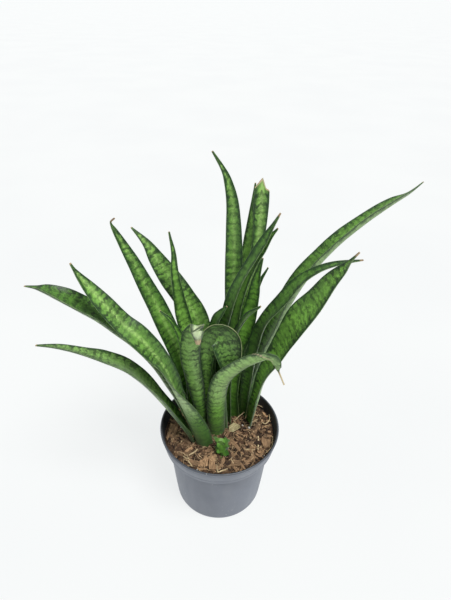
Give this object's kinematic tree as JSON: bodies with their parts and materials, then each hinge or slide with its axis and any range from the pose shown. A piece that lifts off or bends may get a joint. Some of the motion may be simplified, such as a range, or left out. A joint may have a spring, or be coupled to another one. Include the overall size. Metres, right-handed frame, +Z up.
{
  "type": "potted_plant",
  "caption": "Young mottled green snake plant with arching, twisted leaves in a round grey-blue plastic nursery pot filled with coarse bark mix",
  "frame": {"origin": "centre of the pot's flat underside, on the ground", "axes": "+X to the right seen from the front, +Y to the back, +Z up along the pot's axis"},
  "size_m": [0.3344, 0.1465, 0.3515],
  "materials": {
    "pot_plastic": "matte grey-blue moulded plastic",
    "bark_soil": "damp brown bark chips and coir",
    "green_leaf": "satin green with darker cross bands",
    "dry_leaf": "dry papery khaki"
  },
  "bodies": {
    "root": {"pot": "pot_plastic", "soil": "bark_soil", "leaf_left_lowest": "green_leaf", "leaf_left_long": "green_leaf", "leaf_left_broad": "green_leaf", "leaf_left_dry_tip": "green_leaf", "leaf_left_narrow": "green_leaf", "leaf_back_left_broad": "green_leaf", "leaf_back_left_slim": "green_leaf", "leaf_centre_tallest": "green_leaf", "leaf_broken_top": "green_leaf", "leaf_behind_broken": "green_leaf", "leaf_channelled": "green_leaf", "leaf_leaning_right": "green_leaf", "leaf_inner_right": "green_leaf", "leaf_back_right_small": "green_leaf", "leaf_short_dark": "green_leaf", "leaf_right_longest": "green_leaf", "leaf_right_arched": "green_leaf", "leaf_right_broad": "green_leaf", "leaf_front_arched": "green_leaf", "leaf_curled_tip": "green_leaf", "leaf_hooked": "green_leaf", "leaf_centre_short": "green_leaf", "leaf_torn_stub": "green_leaf", "dry_leaf_scrap": "dry_leaf"}
  },
  "joints": []
}
